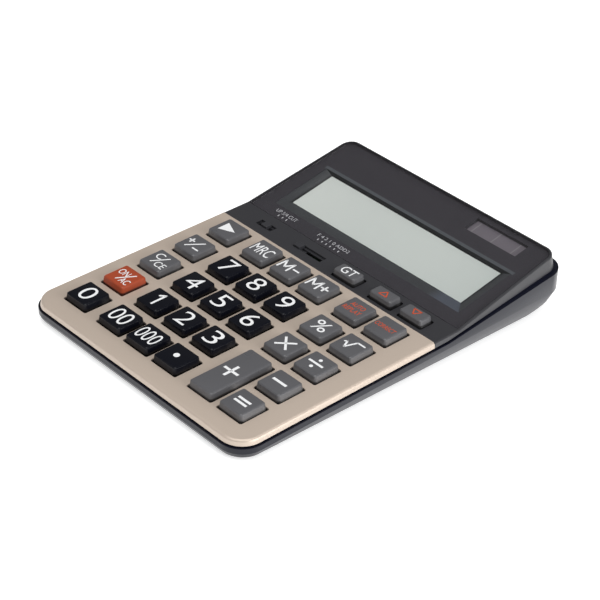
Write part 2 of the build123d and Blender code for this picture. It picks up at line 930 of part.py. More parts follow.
# ---------------------------------------------------------------- slide switches
slider_top = under_deck + slider_gap
slider_bottom = slider_top + slider_thickness
wiper_drop = board_top - slider_gap - slider_bottom
for label, (centre, steps, rest) in zip(("rounding_switch", "decimal_switch"), slots):
    with BuildPart() as knob:
        add(
            deck_box(
                rest - knob_length / 2,
                rest + knob_length / 2,
                switch_row - knob_depth / 2,
                switch_row + knob_depth / 2,
                -under_deck + slot_floor + slider_gap,
                knob_rise - strip_drop,
            )
        )
        top_edges = knob.faces().sort_by(deck_axis)[-1].edges()
        fillet(top_edges, key_edge / 2)
        add(
            deck_box(
                rest - neck_width,
                rest + neck_width,
                switch_row - neck_width / 2,
                switch_row + neck_width / 2,
                -slider_bottom,
                0,
            )
        )
        add(
            deck_box(
                rest - slider_length / 2,
                rest + slider_length / 2,
                switch_row - slider_depth / 2,
                switch_row + slider_depth / 2,
                -slider_bottom,
                -slider_top,
            )
        )
    save(knob.part, label + "_knob")

    wiper_seat_point = deck.from_local_coords(Vector(rest, switch_row, -slider_bottom))
    with BuildPart() as wiper:
        with BuildSketch(Plane(wiper_seat_point, x_dir=(1, 0, 0), z_dir=-deck.y_dir)):
            with BuildLine():
                Polyline(
                    (-wiper_reach, -wiper_drop),
                    (-wiper_seat, 0),
                    (wiper_seat, 0),
                    (wiper_reach, -wiper_drop),
                    (wiper_reach - wiper_thickness, -wiper_drop),
                    (wiper_seat - wiper_thickness, -wiper_thickness),
                    (-wiper_seat + wiper_thickness, -wiper_thickness),
                    (-wiper_reach + wiper_thickness, -wiper_drop),
                    close=True,
                )
            make_face()
        extrude(amount=wiper_width / 2, both=True)
    save(wiper.part, label + "_wiper")

# ---------------------------------------------------------------- battery
cell_axis_height = foot_height + cover_thickness + slider_gap + cell_diameter / 2
cell_left = bay_left + negative_spring_length
cell_plane = Plane(origin=(cell_left, bay_centre_y, cell_axis_height), x_dir=(0, 1, 0), z_dir=(1, 0, 0))
with BuildPart() as battery:
    with BuildSketch(cell_plane):
        Circle(cell_diameter / 2)
    extrude(amount=cell_length)
    chamfer(battery.edges().filter_by(GeomType.CIRCLE), cell_shoulder)
    with BuildSketch(cell_plane.offset(cell_length)):
        Circle(cell_nub_radius)
    extrude(amount=cell_nub)

save(battery.part, "battery")

with BuildPart() as battery_contacts:
    for wall, inward in ((bay_left, 1), (bay_right, -1)):
        contact_foot = (wall, bay_centre_y, cell_axis_height)
        with BuildSketch(Plane(contact_foot, x_dir=(0, 1, 0), z_dir=(inward, 0, 0))):
            Rectangle(contact_width, contact_width)
        extrude(amount=contact_thickness)
    # bent leaf at the negative end
    leaf_foot = bay_left + contact_thickness
    leaf_half = contact_width / 2
    with BuildSketch(Plane.XZ.offset(-bay_centre_y)):
        with BuildLine():
            Polyline(
                (leaf_foot, cell_axis_height + leaf_half),
                (cell_left, cell_axis_height),
                (leaf_foot, cell_axis_height - leaf_half),
                (leaf_foot, cell_axis_height - leaf_half + 2 * contact_thickness),
                (cell_left - contact_thickness, cell_axis_height),
                (leaf_foot, cell_axis_height + leaf_half - 2 * contact_thickness),
                close=True,
            )
        make_face()
    extrude(amount=contact_width / 4, both=True)
    # dimple at the positive end
    with BuildSketch(cell_plane.offset(cell_length + cell_nub)):
        Circle(cell_nub_radius)
    extrude(amount=bay_right - contact_thickness - cell_left - cell_length - cell_nub)

save(battery_contacts.part, "battery_contacts")

with BuildPart() as battery_cover:
    add(
        upright_box(
            bay_left - cover_tab + cover_gap,
            bay_right + cover_tab - cover_gap,
            bay_front - cover_lap + cover_gap,
            bay_back + cover_lap - cover_gap,
            foot_height,
            foot_height + cover_seat,
        )
    )
    add(
        upright_box(
            bay_left + cover_gap,
            bay_right - cover_gap,
            bay_front + cover_gap,
            bay_back - cover_gap,
            foot_height,
            foot_height + cover_thickness,
        )
    )
    add(
        countersunk(
            Plane.XY.offset(foot_height),
            cover_screws_at,
            small_screw_radius + screw_clearance,
            small_head_radius + screw_clearance,
            cover_seat,
        ),
        mode=Mode.SUBTRACT,
    )

save(battery_cover.part, "battery_cover")

save(
    countersunk(
        Plane.XY.offset(foot_height),
        cover_screws_at,
        small_screw_radius,
        small_head_radius,
        cover_seat + cover_screw_reach,
    ),
    "battery_cover_screws",
)

# ---------------------------------------------------------------- case screws and feet
save(
    screws(
        screw_seat,
        case_screws_at,
        screw_radius,
        screw_head_radius,
        screw_head_height,
        screw_web + screw_reach,
    ),
    "case_screws",
)
save(
    pins(Plane.XY, feet_at, foot_radius - slider_gap, foot_height + foot_recess),
    "rubber_feet",
)
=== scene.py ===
# %% [markdown]
# # A desk calculator, dressed around its CAD frame
# The calculator's solids come from CAD: two case halves, a metal faceplate over the keys, a clear
# panel over the display, and thirty-two keys. Blender's share is the finish of each surface, the
# printed legends and the light. The frame is loaded first, because every place is read from it.

# %% Load the frame
import json
import math

import bmesh
import bpy
from mathutils import Matrix, Quaternion, Vector

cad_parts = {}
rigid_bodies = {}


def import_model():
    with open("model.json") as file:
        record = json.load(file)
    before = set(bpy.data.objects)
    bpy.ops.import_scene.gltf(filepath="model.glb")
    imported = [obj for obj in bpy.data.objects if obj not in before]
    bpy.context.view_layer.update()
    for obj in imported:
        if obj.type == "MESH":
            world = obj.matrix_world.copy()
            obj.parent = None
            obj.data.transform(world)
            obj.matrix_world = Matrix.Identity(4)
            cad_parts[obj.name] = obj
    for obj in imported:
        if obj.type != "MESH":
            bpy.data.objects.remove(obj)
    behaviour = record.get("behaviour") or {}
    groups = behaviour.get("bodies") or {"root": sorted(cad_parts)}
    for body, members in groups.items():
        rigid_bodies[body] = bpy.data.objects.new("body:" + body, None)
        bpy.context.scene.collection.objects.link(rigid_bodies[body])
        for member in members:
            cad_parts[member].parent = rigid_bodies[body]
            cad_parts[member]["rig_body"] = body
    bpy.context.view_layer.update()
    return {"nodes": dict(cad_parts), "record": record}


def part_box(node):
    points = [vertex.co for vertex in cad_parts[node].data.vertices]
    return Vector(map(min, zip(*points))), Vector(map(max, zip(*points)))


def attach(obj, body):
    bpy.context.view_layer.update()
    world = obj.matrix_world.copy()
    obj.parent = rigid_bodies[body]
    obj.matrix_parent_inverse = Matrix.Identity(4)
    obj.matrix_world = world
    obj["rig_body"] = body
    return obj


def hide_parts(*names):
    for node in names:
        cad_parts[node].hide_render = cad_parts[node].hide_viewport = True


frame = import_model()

MM = 0.001

# %% [markdown]
# ## Where things lie
# A key legend lies on its key's top, and the scale marks lie on the display panel. Both are flat
# faces that lean back by different angles. The largest upward triangle of a node tells that lean,
# and the corners in its plane tell how large the face is, so no place is typed in by hand.

# %% Find the flat top of a node
IN_PLANE = 0.004 * MM     # how near a corner has to be to count as one of the flat


class Face:
    """The flat top of a node: its size, and a matrix at its middle with Z out of it."""

    def __init__(self, name):
        mesh = frame["nodes"][name].data
        largest = max(mesh.polygons, key=lambda f: f.area if f.normal.z > 0.5 else 0.0)
        out = largest.normal.normalized()
        right = Vector((1, 0, 0))
        up = out.cross(right)
        level = out.dot(mesh.vertices[largest.vertices[0]].co)
        rim = [v.co for v in mesh.vertices if abs(out.dot(v.co) - level) < IN_PLANE]
        self.left, self.right = (f(p.dot(right) for p in rim) for f in (min, max))
        self.front, self.back = (f(p.dot(up) for p in rim) for f in (min, max))
        self.width = self.right - self.left
        self.depth = self.back - self.front
        self.normal = out
        self.up = up
        self.level = level
        self.turn = Matrix((right, up, out)).transposed().to_4x4()
        middle = ((self.left + self.right) / 2, (self.front + self.back) / 2, level)
        self.place = self.turn @ Matrix.Translation(middle)

    def at(self, x, y, z=0.0):
        """Matrix at a point of the face, counted from the middle of its front edge."""
        return self.turn @ Matrix.Translation((x, self.front + y, self.level + z))


deck = Face("keypad_faceplate")
panel = Face("display_window")
print("key deck leans", round(math.degrees(math.acos(deck.normal.z)), 2), "degrees")
print("display panel leans", round(math.degrees(math.acos(panel.normal.z)), 2), "degrees")

# %% [markdown]
# ## Shader maths as Python
# A finish is a few node values added and multiplied. Written as nodes and links, that is hard to
# read. One class wraps an output socket and overloads the operators, so that a line such as
# `0.3 + 0.1 * grain` adds the Math nodes by itself. Every other node comes from one method, for a
# material and for the world alike.

# %% Wrap a socket and a node tree


class Value:
    """One output socket, with arithmetic."""

    def __init__(self, graph, socket):
        self.graph = graph
        self.socket = socket

    def _math(self, operation, first, second):
        return self.graph.node("ShaderNodeMath", {"operation": operation}, {0: first, 1: second})

    def __add__(self, other):
        return self._math("ADD", self, other)

    def __sub__(self, other):
        return self._math("SUBTRACT", self, other)

    def __rsub__(self, other):
        return self._math("SUBTRACT", other, self)

    def __mul__(self, other):
        return self._math("MULTIPLY", self, other)

    def __abs__(self):
        return self.graph.node("ShaderNodeMath", {"operation": "ABSOLUTE"}, {0: self})

    __radd__ = __add__
    __rmul__ = __mul__


class Graph:
    """A node tree that is built by calls."""

    def __init__(self, tree):
        self.tree = tree

    def node(self, kind, settings=None, inputs=None, output=0):
        """Adds a node: settings first, a ramp's stops among them, then its inputs."""
        made = self.tree.nodes.new(kind)
        for key, value in (settings or {}).items():
            if key == "stops":
                ramp = made.color_ramp.elements
                while len(ramp) < len(value):
                    ramp.new(0.5)
                for element, (position, colour) in zip(ramp, value):
                    element.position = position
                    element.color = (*colour, 1.0)
            else:
                setattr(made, key, value)
        for key, value in (inputs or {}).items():
            self.feed(made.inputs[key], value)
        return Value(self, made.outputs[output])

    def feed(self, socket, value):
        """Links a Value to a socket, or sets the socket's own number or colour."""
        if isinstance(value, Value):
            self.tree.links.new(value.socket, socket)
        else:
            socket.default_value = value


print("node trees can be written as sums")

# %% [markdown]
# ## What every finish is made of
# A finish needs the same few things again and again: the point on the object, clouds and specks
# around it, the distance along a direction, a ramp between two places, a relief and a mix of two
# colours. They are methods of one class. A colour is given as the eye reads it and turned into the
# linear light that a shader wants.

# %% Finishes and colours


class Finish(Graph):
    """A material and its Principled shader."""

    def __init__(self, name, **constants):
        self.material = bpy.data.materials.new(name)
        self.material.use_nodes = True
        super().__init__(self.material.node_tree)
        self.shader = self.tree.nodes["Principled BSDF"]
        self.drive(**constants)

    def drive(self, **sockets):
        """Sets or feeds sockets of the Principled shader."""
        for socket, value in sockets.items():
            self.feed(self.shader.inputs[socket.replace("_", " ")], value)

    def where(self):
        """The point on the object, in metres."""
        return self.node("ShaderNodeTexCoord", output="Object")

    def along(self, direction):
        """How far out the point lies in a direction, in metres."""
        settings = {"operation": "DOT_PRODUCT"}
        inputs = {0: self.where(), 1: tuple(direction)}
        return self.node("ShaderNodeVectorMath", settings, inputs, output=1)

    def noise(self, size, detail=2.0):
        """Cloudy pattern with lumps of about this size, in metres."""
        settings = {"noise_dimensions": "3D"}
        inputs = {"Vector": self.where(), "Scale": 1.0 / size, "Detail": detail}
        return self.node("ShaderNodeTexNoise", settings, inputs, output="Fac")

    def ramp(self, value, start, end):
        """Rises from 0 to 1 between start and end, and stays level beyond them."""
        return self.node("ShaderNodeMapRange", None, {0: value, 1: start, 2: end})

    def bands(self, profile, scale):
        """Straight bands across the width of the object."""
        settings = {"wave_type": "BANDS", "bands_direction": "X", "wave_profile": profile}
        inputs = {"Vector": self.where(), "Scale": scale}
        return self.node("ShaderNodeTexWave", settings, inputs, output="Fac")

    def bump(self, height, depth, strength=1.0):
        """A fine relief, its depth in metres."""
        return self.node(
            "ShaderNodeBump", None, {"Height": height, "Distance": depth, "Strength": strength}
        )

    def blend(self, factor, first, second):
        """Mixes two colours."""
        settings = {"data_type": "RGBA"}
        return self.node("ShaderNodeMix", settings, {0: factor, 6: first, 7: second}, output=2)


def tone(red, green, blue):
    """A colour given as the eye reads it, 0 to 255, as a shader wants it."""
    def linear(level):
        share = level / 255
        return share / 12.92 if share <= 0.04045 else ((share + 0.055) / 1.055) ** 2.4
    return (linear(red), linear(green), linear(blue), 1.0)


def dimmed(colour, share):
    """The same colour with a share of its light."""
    return tuple(c * share for c in colour[:3]) + (1.0,)


print("shader kit ready")

# %% [markdown]
# ## Moulded plastics
# A moulding is never one flat colour: its roughness drifts a little over the hand's width, and a
# spark-eroded mould leaves a fine grain. One function makes them all from a colour, a gloss and a
# grain, and the finishes differ only in those numbers. A key stands in an opening of the deck,
# where light hardly reaches, so its walls get a painted shade that darkens them towards the deck.

# %% Plastic finishes


def plastic(name, colour, gloss, grain=0.0, shine=0.4, painted_foot_shade=False):
    """Moulded plastic: gloss is its roughness, grain the depth of its texture in metres."""
    finish = Finish(name, Specular_IOR_Level=shine)
    cloud = finish.noise(18 * MM)
    speck = finish.noise(0.35 * MM, detail=3.0)
    skin = finish.blend(cloud * 0.7 + speck * 0.3, dimmed(colour, 0.88), colour)
    # Painted shade: within about a millimetre of the deck, a key's walls are painted almost black.
    if painted_foot_shade:
        above_deck = finish.along(deck.normal) - deck.level
        lit = finish.ramp(above_deck, 0.5 * MM, 1.1 * MM)
        skin = finish.blend(lit, dimmed(colour, 0.12), skin)
    finish.drive(
        Base_Color=skin,
        Roughness=gloss - 0.02 + 0.04 * cloud,
        Normal=finish.bump(speck, max(grain, 0.002 * MM)),
    )
    return finish.material


tray_plastic = plastic("tray_plastic", tone(19, 21, 34), 0.24, shine=0.34)
shell_plastic = plastic("shell_plastic", tone(50, 50, 54), 0.38, grain=0.012 * MM, shine=0.7)
switch_plastic = plastic("switch_plastic", tone(56, 56, 60), 0.32, grain=0.01 * MM)
frame_plastic = plastic("frame_plastic", tone(222, 222, 218), 0.5)
# Each key finish paints shade at the foot of the key's walls.
key_plastics = {
    "black_key": plastic("black_key_plastic", tone(9, 11, 21), 0.25, shine=0.28, painted_foot_shade=True),
    "grey_key": plastic("grey_key_plastic", tone(93, 93, 96), 0.28, shine=0.6, painted_foot_shade=True),
    "orange_key": plastic("orange_key_plastic", tone(168, 70, 38), 0.38, painted_foot_shade=True),
}
print("plastics:", sum(m.name.endswith("plastic") for m in bpy.data.materials))

# %% [markdown]
# ## Metal and rubber
# The faceplate is a champagne-coloured sheet with a satin skin. Its grain is far finer than a
# plastic's, and a slow drift in roughness keeps the large flat from looking painted. Rubber is
# dull and mottled instead.

# %% Metal and rubber finishes


def metal(name, colour, gloss, metallic=1.0):
    """Satin metal with a fine even grain."""
    finish = Finish(name, Metallic=metallic)
    cloud = finish.noise(30 * MM)
    speck = finish.noise(0.12 * MM)
    finish.drive(
        Base_Color=finish.blend(speck, dimmed(colour, 0.93), colour),
        Roughness=gloss + 0.05 * cloud + 0.06 * speck,
        Normal=finish.bump(speck, 0.002 * MM),
    )
    return finish.material


def rubber(name, colour):
    """Dull rubber with a soft mottle."""
    finish = Finish(name, Specular_IOR_Level=0.3)
    speck = finish.noise(0.5 * MM, detail=4.0)
    finish.drive(
        Base_Color=finish.blend(speck, dimmed(colour, 0.7), colour),
        Roughness=0.7 + 0.2 * speck,
        Normal=finish.bump(speck, 0.02 * MM),
    )
    return finish.material


champagne = metal("champagne_sheet", tone(210, 194, 179), 0.34, metallic=0.3)
steel = metal("zinc_steel", tone(186, 188, 190), 0.3)
nickel = metal("nickel_strip", tone(206, 204, 196), 0.2)
foot_rubber = rubber("foot_rubber", tone(34, 34, 35))
dome_rubber = rubber("dome_rubber", tone(196, 196, 190))
connector_rubber = rubber("connector_rubber", tone(150, 132, 136))
print("metals and rubbers ready")

# %% [markdown]
# ## Clear acrylic
# A clear panel covers the whole display wedge. It is a faint mirror over nothing: its base is a
# mirror, and a Fresnel value sets the alpha, so light still falls through to the layers below.
# Only the outer side mirrors, because a ray on its way out would otherwise meet total reflection.

# %% Acrylic
acrylic = Finish("clear_acrylic", Base_Color=(1.0, 1.0, 1.0, 1.0), Metallic=1.0, Roughness=0.1)
edge_on = acrylic.node("ShaderNodeFresnel", None, {"IOR": 1.45})
from_inside = acrylic.node("ShaderNodeNewGeometry", output="Backfacing")
acrylic.drive(Alpha=0.02 + 0.3 * edge_on * (1.0 - from_inside))
print("acrylic ready")

# %% [markdown]
# ## The funnel round the display
# The panel's back is printed dark, with two cut-outs. From the large one a funnel leads down to
# the display glass. Light and shade on it are painted into its colour: its steep back wall is a
# painted near-black shade, a line of painted shade runs along the foot of its side walls, and the
# right end of its front wall carries a painted highlight. A point belongs to the wall that it has
# risen highest on, counted in shares of each wall's run, so the tones part at the mitres. The
# corners of the funnel's two openings are read from the CAD node.

# %% Measure the funnel
NEAR = 0.01 * MM     # how near a corner has to be to lie on the rim of an opening


class Opening:
    """The funnel's opening at its top or bottom: its height, half width, front and back."""

    def __init__(self, pick):
        points = [v.co for v in frame["nodes"]["lcd_bezel"].data.vertices]
        self.level = pick(p.dot(panel.normal) for p in points)
        points = [p for p in points if abs(p.dot(panel.normal) - self.level) < NEAR]
        self.right = min(abs(p.x) for p in points)
        sides = [p.dot(panel.up) for p in points if abs(p.x) < self.right + NEAR]
        self.front, self.back = min(sides), max(sides)


rim = Opening(max)
view = Opening(min)
shown = (2 * view.right, view.back - view.front)
print("display shows", " x ".join(str(round(side / MM, 1)) for side in shown), "mm")

# %% [markdown]
# The walls' rises are compared with ramps, which are as good as masks: each is 0 on one side of a
# mitre and 1 on the other, and multiplying two of them gives the part where both hold.

# %% Funnel finish
# Painted shade: the near-black of the back wall and of the line at the foot of the walls.
PAINTED_SHADE = tone(20, 22, 25)

funnel = Finish("bezel_plastic", Specular_IOR_Level=0.4)
across = funnel.along((1, 0, 0))
climb = funnel.along(panel.up)
above_glass = funnel.along(panel.normal) - view.level
side_rise = (abs(across) - view.right) * (1 / (rim.right - view.right))
front_rise = (view.front - climb) * (1 / (view.front - rim.front))
back_rise = (climb - view.back) * (1 / (rim.back - view.back))
front_wall = funnel.ramp(front_rise - side_rise, -0.02, 0.02)
back_wall = funnel.ramp(back_rise - side_rise, -0.02, 0.02)
# Painted highlight: the right end of the front wall turns a paler blue-grey.
painted_light_end = front_wall * funnel.ramp(across, view.right - 16 * MM, view.right - 10 * MM)
# Painted shade: a dark line along the foot of the side and back walls.
foot = funnel.ramp(above_glass, 0.5 * MM, 0.2 * MM) * (1.0 - front_wall)
wall = funnel.blend(painted_light_end, tone(56, 58, 61), tone(74, 79, 89))
wall = funnel.blend(foot, wall, PAINTED_SHADE)
# The back wall takes the painted shade whole.
funnel.drive(
    Base_Color=funnel.blend(back_wall, wall, PAINTED_SHADE),
    Roughness=0.38 + 0.04 * funnel.noise(18 * MM),
)
print("funnel", round((rim.level - view.level) / MM, 1), "mm deep")

# %% [markdown]
# ## The dark print
# The print is a matt charcoal ink. Behind the cut-out for the display a slightly paler band is
# painted into it, about as long as the cut-out: a painted highlight beside the funnel. The band is
# a product of ramps: two for its front and back edges and one for its ends. The panel's narrow
# sides carry an ink of the same tone, but glossy.

# %% Print finishes
STRIPE = 2.0 * MM

print_ink = Finish("print_ink", Specular_IOR_Level=0.1)
cloud = print_ink.noise(18 * MM)
climb = print_ink.along(panel.up) - rim.back
outward = abs(print_ink.along((1, 0, 0))) - rim.right
# Painted highlight: a paler band just behind the back edge of the display's cut-out.
painted_highlight = (
    print_ink.ramp(climb, -0.3 * MM, 0.0)
    * print_ink.ramp(climb, STRIPE + 0.2 * MM, STRIPE - 0.3 * MM)
    * print_ink.ramp(outward, 1.6 * MM, 1.0 * MM)
)
plain = print_ink.blend(cloud, tone(54, 52, 57), tone(59, 57, 62))
print_ink.drive(
    Base_Color=print_ink.blend(painted_highlight, plain, tone(78, 81, 85)),
    Roughness=0.58 + 0.04 * cloud,
)
rim_ink = plastic("rim_ink", tone(58, 56, 61), 0.18, shine=1.0)
print("print ready, stripe", round(STRIPE / MM, 1), "mm deep")

# %% [markdown]
# ## Liquid crystal and solar cell
# The display glass is silver-green and dull, with a faint mottle, and grows a little brighter
# towards its left end. The solar cell is a brown film, parted by thin pale lines into its cells. A
# saw-tooth wave gives those lines, and a colour ramp keeps them narrow.

# %% Glass and solar cell
crystal = Finish("liquid_crystal", Specular_IOR_Level=0.25)
mottle = crystal.noise(0.25 * MM, detail=3.0)
sweep = crystal.noise(70 * MM, detail=0.0)
leftward = 0.5 - crystal.along((1, 0, 0)) * (0.9 / panel.width)
crystal.drive(
    Base_Color=crystal.blend(
        0.5 * leftward + 0.4 * sweep + 0.1 * mottle, tone(172, 181, 178), tone(214, 218, 213)
    ),
    Roughness=0.32 + 0.05 * mottle,
)

PALE_LINE = (0.21, 0.2, 0.21)
BROWN_FILM = (0.14, 0.125, 0.145)
cell = Finish("solar_film", Specular_IOR_Level=0.5)
lines = cell.node(
    "ShaderNodeValToRGB",
    {"stops": [(0.0, PALE_LINE), (0.03, PALE_LINE), (0.06, BROWN_FILM)]},
    {"Fac": cell.bands("SAW", 24.0)},
)
cell.drive(Base_Color=lines, Roughness=0.4 + 0.04 * cell.noise(9 * MM))
print("display layers ready")

# %% [markdown]
# ## Boards, cable and battery
# These pieces are seen only when the case is taken apart. Each still has its own finish: green
# lacquer over copper lands, a cream film cable with its conductors, a sleeve on the cell.

# %% Inner finishes


def striped(name, first, second, pitch, gloss=0.4):
    """Two colours in straight bands, as conductors in a film."""
    finish = Finish(name)
    wave = finish.bands("SIN", 0.314 / pitch)
    edge = finish.node("ShaderNodeMath", {"operation": "GREATER_THAN"}, {0: wave, 1: 0.5})
    finish.drive(
        Base_Color=finish.blend(edge, first, second),
        Roughness=gloss + 0.08 * finish.noise(1.5 * MM),
    )
    return finish.material


def lacquer_board(name):
    """Green solder lacquer with paler copper lands under it."""
    finish = Finish(name)
    lands = finish.node(
        "ShaderNodeTexVoronoi",
        {"feature": "DISTANCE_TO_EDGE"},
        {"Vector": finish.where(), "Scale": 260.0},
        output="Distance",
    )
    track = finish.node("ShaderNodeMath", {"operation": "LESS_THAN"}, {0: lands, 1: 0.12})
    finish.drive(
        Base_Color=finish.blend(track, tone(20, 46, 27), tone(36, 74, 42)),
        Roughness=0.3 + 0.1 * finish.noise(0.3 * MM),
        Normal=finish.bump(lands, 0.03 * MM, 0.4),
    )
    return finish.material


board_green = lacquer_board("board_green")
film_cable = striped("film_cable", tone(226, 216, 188), tone(176, 164, 132), 1.27 * MM)
resin = plastic("resin_drop", tone(22, 22, 22), 0.3)
sleeve = striped("cell_sleeve", tone(50, 52, 56), tone(58, 60, 64), 3 * MM, gloss=0.25)
print("materials in all:", len(bpy.data.materials))

# %% [markdown]
# ## Softer edges on the shells
# A CAD mesh is loose triangles with razor edges, and a razor edge catches no light. Each visible
# shell gets a copy that stands for its node: the doubles are merged, flat triangles are joined
# again, and a Bevel modifier eases each edge by a tenth of a millimetre or so. The copy lies
# exactly where the node lies and rides on the same body.

# %% Copy, weld and bevel a node
MERGE = 0.002 * MM          # corners nearer than this are one corner
FLAT = math.radians(0.5)    # triangles that lean less than this to each other are one face
SHARP = math.radians(28)    # an edge that bends more than this is a real edge
record_slots = {s["node"]: s["material_slot"] for s in frame["record"]["subparts"]}


def welded(name):
    """A node's mesh with its doubles merged and its flat triangles joined."""
    shape = bmesh.new()
    shape.from_mesh(frame["nodes"][name].data)
    bmesh.ops.remove_doubles(shape, verts=shape.verts, dist=MERGE)
    bmesh.ops.dissolve_limit(shape, angle_limit=FLAT, verts=shape.verts, edges=shape.edges)
    return shape


def smooth_piece(name, shape, *materials):
    """Makes a bmesh an object that is smooth between its sharp edges."""
    mesh = bpy.data.meshes.new(name)
    shape.to_mesh(mesh)
    shape.free()
    mesh.shade_smooth()
    mesh.set_sharp_from_angle(angle=SHARP)
    mesh.materials.clear()
    for material in materials:
        mesh.materials.append(material)
    piece = bpy.data.objects.new(name, mesh)
    bpy.context.scene.collection.objects.link(piece)
    return piece


def soften(piece, width, segments):
    """Rounds the sharp edges of a piece."""
    bevel = piece.modifiers.new("eased_edges", "BEVEL")
    bevel.width = width
    bevel.segments = segments
    bevel.limit_method = "ANGLE"
    bevel.angle_limit = SHARP
    bevel.harden_normals = True
    return bevel


print("nodes in the record:", len(record_slots))

# %% [markdown]
# Once the copy is made, it rides on the node's body, and the node itself is hidden.

# %% Dress the shells


def stand_for(piece, name):
    """Puts a piece in a node's place: on its body, with the node hidden."""
    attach(piece, frame["nodes"][name]["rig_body"])
    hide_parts(name)


def eased(name, material, edge):
    """A welded, bevelled copy of a CAD node that stands for it."""
    piece = smooth_piece(name + "_skin", welded(name), material)
    soften(piece, edge, 2)
    stand_for(piece, name)
    return piece


shells = [
    eased("lower_case", tray_plastic, 0.25 * MM),
    eased("upper_case", shell_plastic, 0.2 * MM),
    eased("keypad_faceplate", champagne, 0.12 * MM),
    eased("lcd_bezel", funnel.material, 0.05 * MM),
    eased("battery_cover", tray_plastic, 0.15 * MM),
    eased("rubber_feet", foot_rubber, 0.25 * MM),
    eased("rounding_switch_knob", switch_plastic, 0.1 * MM),
    eased("decimal_switch_knob", switch_plastic, 0.1 * MM),
]
print("eased shells:", ", ".join(piece.name for piece in shells))

# %% [markdown]
# ## Keys
# Thirteen keys are gloss black, one is orange, and the rest are grey. The record's material slot of
# a key says which, so one loop dresses them all.

# %% Dress the keys
keys = [name for name in record_slots if name.startswith("key_")]
for name in keys:
    eased(name, key_plastics[record_slots[name]], 0.05 * MM)
print("keys dressed:", len(keys))

# %% [markdown]
# ## The clear panel
# The CAD panel touches the print under it face to face. Two faces in one place flicker in a render,
# so the dressed panel is a copy that floats a few hundredths of a millimetre over it. A fine gap
# parts it from the case all round. Its narrow sides carry the dark ink too, so that no light leaks
# in beside the display, and its edge is rounded.

# %% Clear panel with a hair of air round it
AIR = 0.05 * MM
GAP = 0.2 * MM

shape = welded("display_window")
window_thickness = panel.level - min(panel.normal.dot(v.co) for v in shape.verts)
shrink = (1 - 2 * GAP / panel.width, 1 - 2 * GAP / panel.depth, 1 - AIR / window_thickness)
bmesh.ops.scale(shape, vec=shrink, verts=shape.verts, space=panel.place.inverted())
window = smooth_piece("clear_panel", shape, acrylic.material, rim_ink)
for side in window.data.polygons:
    side.material_index = 1 if abs(side.normal.dot(panel.normal)) < 0.5 else 0
soften(window, 0.3 * MM, 3).material = 1
stand_for(window, "display_window")
print("clear panel", round(window_thickness / MM, 2), "mm thick")

# %% [markdown]
# ## The other nodes
# The pieces under the clear panel and inside the case keep their CAD mesh and only get a finish.

# %% Dress the inner nodes
inner_finish = {
    "window_mask": print_ink.material,
    "lcd_glass": crystal.material,
    "solar_cell": cell.material,
    "lcd_frame": frame_plastic,
    "lcd_connector": connector_rubber,
    "display_board": board_green,
    "main_board": board_green,
    "ribbon_cable": film_cable,
    "controller_chip": resin,
    "dome_sheet": dome_rubber,
    "board_screws": steel,
    "case_screws": steel,
    "lcd_frame_screws": steel,
    "battery_cover_screws": steel,
    "battery": sleeve,
    "battery_contacts": nickel,
    "rounding_switch_wiper": nickel,
    "decimal_switch_wiper": nickel,
}
for name, material in inner_finish.items():
    slots = frame["nodes"][name].data.materials
    slots.clear()
    slots.append(material)
print("inner nodes dressed:", len(inner_finish))

# %% [markdown]
# ## Inks
# Screen-printed ink is opaque and a little uneven. Its mottle is finer than a plastic's, and three
# inks are enough: white for the keys, grey for the scales and red for a few keys.

# %% Ink finishes


def ink(name, colour):
    """Opaque screen-printed ink."""
    finish = Finish(name, Specular_IOR_Level=0.25)
    speck = finish.noise(0.2 * MM, detail=3.0)
    finish.drive(
        Base_Color=finish.blend(speck, dimmed(colour, 0.94), colour),
        Roughness=0.45 + 0.1 * speck,
    )
    return finish.material


white_ink = ink("white_ink", tone(242, 243, 244))
scale_ink = ink("scale_ink", tone(206, 206, 210))
red_ink = ink("red_ink", tone(206, 84, 50))
print("inks:", ", ".join(m.name for m in (white_ink, scale_ink, red_ink)))

# %% [markdown]
# ## A pen for legends
# A legend is a film of ink a few hundredths of a millimetre thick. Letters and figures come from a
# text object that is made a mesh, and the signs are drawn from bars and discs. All parts of one
# legend are gathered in one bmesh round its own middle and then laid on the key's top. The pen
# takes its measures in millimetres, because that is how print is specified.

# %% The pen
INK = 0.04 * MM               # thickness of the ink
LIFT = 0.01 * MM              # air between a key and its legend
ROUND, SQUARE = 0.49, 0.1     # how far the corners of a bar are rounded, in shares of its width


